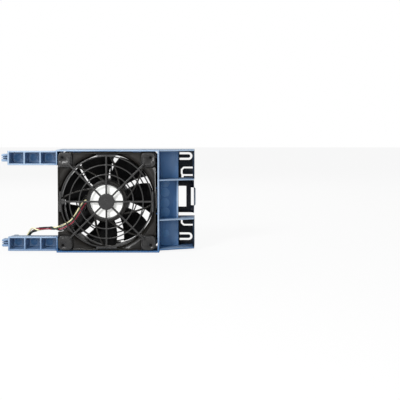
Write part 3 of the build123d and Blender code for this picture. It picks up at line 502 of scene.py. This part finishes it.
mouldings = {
    "carrier": {"name": "carrierMoulding", "radius": 0.3, "segments": 2},
    "end_cap": {"name": "endCapMoulding", "radius": 0.22, "segments": 2},
    "latch_handle": {"name": "handleMoulding", "radius": 0.35, "segments": 3},
    "fan_frame": {"name": "fanFrameMoulding", "radius": 0.25, "segments": 2},
    "front_guard": {"name": "frontGuardMoulding", "radius": 0.4, "segments": 3},
    "rear_guard": {"name": "rearGuardMoulding", "radius": 0.4, "segments": 3},
    "impeller": {"name": "impellerMoulding", "radius": 0.15, "segments": 2},
    "lead_plug": {"name": "plugMoulding", "radius": 0.2, "segments": 2},
}

rounding = {
    "merge": 0.002,       # mm, the CAD mesh is loose triangles
    "corner": 32,         # degrees from which an edge is rounded
    "shortest": 0.5,      # share of the radius, below which an edge stays sharp
    "overshoot": 0.4,     # share of the radius that a round may leave the surface by
    "smooth": 38,
}


def sharpEdges(bm, corner, shortest):
    picked = []
    for edge in bm.edges:
        if len(edge.link_faces) != 2 or edge.calc_length() < shortest:
            continue
        if edge.calc_face_angle(0) > corner:
            picked.append(edge)
    return picked


def roundEdges(bm, edges, radius, segments):
    bmesh.ops.bevel(
        bm, geom=edges, offset=radius * mm, offset_type="OFFSET", segments=segments,
        profile=0.5, affect="EDGES", clamp_overlap=False, material=-1,
    )


def pullIn(bm, surface, furthest):
    # where many edges meet, a bevel's corner can stand far off the surface
    pulled = 0
    for vert in bm.verts:
        place, *_, away = surface.find_nearest(vert.co)
        if away > furthest:
            vert.co = place
            pulled += 1
    return pulled


def makeMoulding(node, look):
    s = rounding
    source = frame["nodes"][node]
    bm = bmesh.new()
    bm.from_mesh(source.data)
    bmesh.ops.remove_doubles(bm, verts=bm.verts, dist=s["merge"] * mm)
    surface = BVHTree.FromBMesh(bm)
    edges = sharpEdges(bm, math.radians(s["corner"]), look["radius"] * s["shortest"] * mm)
    roundEdges(bm, edges, look["radius"], look["segments"])
    pulled = pullIn(bm, surface, look["radius"] * s["overshoot"] * mm)
    obj = meshPiece(look["name"], bm, source.data.materials[0], s["smooth"])
    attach(obj, source["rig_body"])
    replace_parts(obj, node)
    print(obj.name, len(obj.data.polygons), "faces,", len(edges), "edges rounded")
    print(pulled, "of its corners pulled in")


# Round witnesses of the ejector pins, on the floors of the bays and of the arms' cells

ejectorMarks = {
    "bayFloor": 29.0,
    "cellFloor": 22.0,
    "rise": 0.12,
    "sunk": 0.02,
    "round": 0.06,
    "sides": 40,
    "bays": [                                             # X, Z, radius
        (53.6, 15.6, 4.2), (53.6, 6.4, 4.2), (53.4, -3.8, 4.4), (53.8, -12.7, 4.3),
        (54.0, -33.6, 3.4),
    ],
    "cells": [(-87.9, 3.6), (-72.5, 3.4), (-57.7, 3.6)],  # X, radius, in each arm
    "cellHeight": 40.6,
}


def addDisc(bm, x, z, radius, floor):
    # a low round pad whose flat front face looks towards -Y
    s = ejectorMarks
    height = s["rise"] + s["sunk"]
    place = Matrix.Translation(fromFan(x, floor + s["sunk"] - height / 2, z))
    pad = bmesh.ops.create_cone(
        bm, cap_ends=True, segments=s["sides"], radius1=radius * mm, radius2=radius * mm,
        depth=height * mm, matrix=place @ Matrix.Rotation(math.radians(90), 4, "X"),
    )
    corners = set(pad["verts"])
    front = min(vert.co.y for vert in corners) + s["sunk"] * mm
    rim = [
        edge for edge in bm.edges
        if set(edge.verts) <= corners and all(vert.co.y < front for vert in edge.verts)
    ]
    roundEdges(bm, rim, s["round"], 2)


def finishPiece(name, bm, finish, smooth=35):
    bmesh.ops.recalc_face_normals(bm, faces=bm.faces)
    obj = meshPiece(name, bm, made[finish], smooth)
    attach(obj, "housing")
    print(name, len(obj.data.polygons), "faces")
    return obj


def buildEjectorMarks():
    s = ejectorMarks
    bm = bmesh.new()
    for x, z, radius in s["bays"]:
        addDisc(bm, x, z, radius, s["bayFloor"])
    for x, radius in s["cells"]:
        for side in (-1, 1):
            addDisc(bm, x, side * s["cellHeight"], radius, s["cellFloor"])
    finishPiece("ejectorMarks", bm, "ejectorWitness")


# The gate mark in the middle of each guard's hub: a shallow cup with a rounded rim

gateMark = {
    "radius": 2.3,
    "rim": 0.35,
    "rise": 0.2,
    "sunk": 0.02,
    "sides": 48,
    "rimSteps": 6,
    "faces": [("frontGateMark", -4.0, -1), ("rearGateMark", 42.0, 1)],    # name, hub face, way out
}


def addGate(bm, face, way):
    s = gateMark
    start = bm.verts.new(fromFan(s["radius"] - s["rim"], face - way * s["sunk"], 0))
    profile = [start]
    for step in range(1, s["rimSteps"] + 1):
        angle = math.pi * step / s["rimSteps"]
        x = s["radius"] - s["rim"] * math.cos(angle)
        profile.append(bm.verts.new(fromFan(x, face + way * s["rise"] * math.sin(angle), 0)))
    edges = [bm.edges.new(pair) for pair in zip(profile, profile[1:])]
    bmesh.ops.spin(
        bm, geom=profile + edges, cent=fromFan(0, 0, 0), axis=(0, 1, 0), dvec=(0, 0, 0),
        angle=math.tau, steps=s["sides"], use_merge=True, use_duplicate=False,
    )


def buildGateMarks():
    for name, face, way in gateMark["faces"]:
        bm = bmesh.new()
        addGate(bm, face, way)
        finishPiece(name, bm, "guardPlastic")


# The four wires of the lead: side by side in the frame's channel, then twisted up to the plug

leadRun = {
    "radius": 0.65,
    "roundness": 3,
    "smooth": 60,
    "route": [                # bundle's centre line, from the motor's board to the plug
        (-12.0, 4.8, -0.6), (-20.1, 3.6, -1.1), (-21.6, 3.5, -2.5), (-30.76, 3.5, -17.43),
        (-34.88, 3.5, -21.28), (-42.72, 3.5, -25.39), (-44.41, 3.62, -25.79), (-50.0, 4.4, -25.7),
        (-57.5, 7.6, -25.9), (-70.4, 17.2, -28.3), (-77.6, 25.8, -32.5), (-82.0, 30.2, -40.6),
        (-88.45, 30.2, -40.6),
    ],
    "routeSteps": 16,
    "twist": [                # X along the lead, turn of the bundle in degrees
        (-48.5, 0), (-55.0, 180), (-63.5, 195), (-71.5, 375), (-83.5, 360),
    ],
    "pitch": 1.36,            # from wire to wire in the row
    "reach": 1.02,            # from the bundle's middle to each wire's
    "gather": [(-44.5, 0.0), (-50.0, 1.0)],     # X, share of the way from row to bundle
    "aside": 2.2,             # how far the upper two pass in front while they gather
    "bulge": {                # X, half length and size of a slack bow
        "yellow": (-72.5, 5.5, 1.5), "black": (-70.0, 5.0, 0.5),
    },
    "wires": [                # colour, place in the row, angle in the bundle
        ("yellow", 1.5, 45), ("green", 0.5, 315), ("red", -0.5, 135), ("black", -1.5, 225),
    ],
}


def newCurve(kind, points):
    curve = bpy.data.curves.new("leadLine", "CURVE")
    curve.dimensions = "3D"
    spline = curve.splines.new(kind)
    spline.points.add(len(points) - 1)
    for point, place in zip(spline.points, points):
        point.co = (*place, 1)
    return curve, spline


def curveMesh(curve):
    holder = bpy.data.objects.new("leadLine", curve)
    bm = bmesh.new()
    mesh = bpy.data.meshes.new_from_object(holder)
    bm.from_mesh(mesh)
    bpy.data.objects.remove(holder)
    bpy.data.curves.remove(curve)
    bpy.data.meshes.remove(mesh)
    return bm


def splineLine(route):
    # points read from a smooth curve along the route
    curve, spline = newCurve("NURBS", route)
    curve.resolution_u = leadRun["routeSteps"]
    spline.order_u = 3
    spline.use_endpoint_u = True
    bm = curveMesh(curve)
    line = [vert.co.copy() for vert in bm.verts]
    bm.free()
    return line


def keyed(keys, x):
    # value at X from keys that run towards -X, eased between neighbours
    if x >= keys[0][0]:
        return keys[0][1]
    for (x0, v0), (x1, v1) in zip(keys, keys[1:]):
        if x >= x1:
            share = (x0 - x) / (x0 - x1)
            return v0 + (v1 - v0) * (3 * share ** 2 - 2 * share ** 3)
    return keys[-1][1]


def alongLine(line, index):
    before, after = line[max(index - 1, 0)], line[min(index + 1, len(line) - 1)]
    return (after - before).normalized()


def wireLine(centre, colour, place, angle):
    s = leadRun
    line = []
    for index, here in enumerate(centre):
        along = alongLine(centre, index)
        beside = Vector((0, 0, 1)).cross(along).normalized()
        above = along.cross(beside)
        turn = math.radians(angle + keyed(s["twist"], here.x))
        reach = s["reach"]
        if colour in s["bulge"]:
            at, half, extra = s["bulge"][colour]
            reach += extra * max(0.0, 1 - ((here.x - at) / half) ** 2) ** 2
        bundled = Vector((reach * math.sin(turn), -reach * math.cos(turn)))
        row = Vector((place * s["pitch"], 0.0))
        share = keyed(s["gather"], here.x)
        aside = s["aside"] * share * (1 - share) * (-1 if place > 0 else 1)
        up, back = row.lerp(bundled, share) + Vector((0.0, aside))
        line.append(here + above * up - beside * back)
    return line


def makeStrand(colour, line):
    # a round wire along a line of points
    s = leadRun
    curve, spline = newCurve("POLY", [fromFan(*place) for place in line])
    curve.bevel_depth = s["radius"] * mm
    curve.bevel_resolution = s["roundness"]
    curve.use_fill_caps = True
    bm = curveMesh(curve)
    bmesh.ops.remove_doubles(bm, verts=bm.verts, dist=0.001 * mm)
    return finishPiece(colour + "WireRun", bm, colour + "Wire", s["smooth"])


def buildLead():
    centre = splineLine(leadRun["route"])
    for colour, place, angle in leadRun["wires"]:
        line = wireLine(centre, colour, place, angle)
        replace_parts(makeStrand(colour, line), "lead_" + colour)
        length = sum((after - before).length for before, after in zip(line, line[1:]))
        print(colour, "wire", round(length, 1), "mm long")


buildCamera()
buildStage()
dressNodes()
print("stage, camera and finishes in place")

for node, look in mouldings.items():
    makeMoulding(node, look)
buildEjectorMarks()
buildGateMarks()
buildLead()
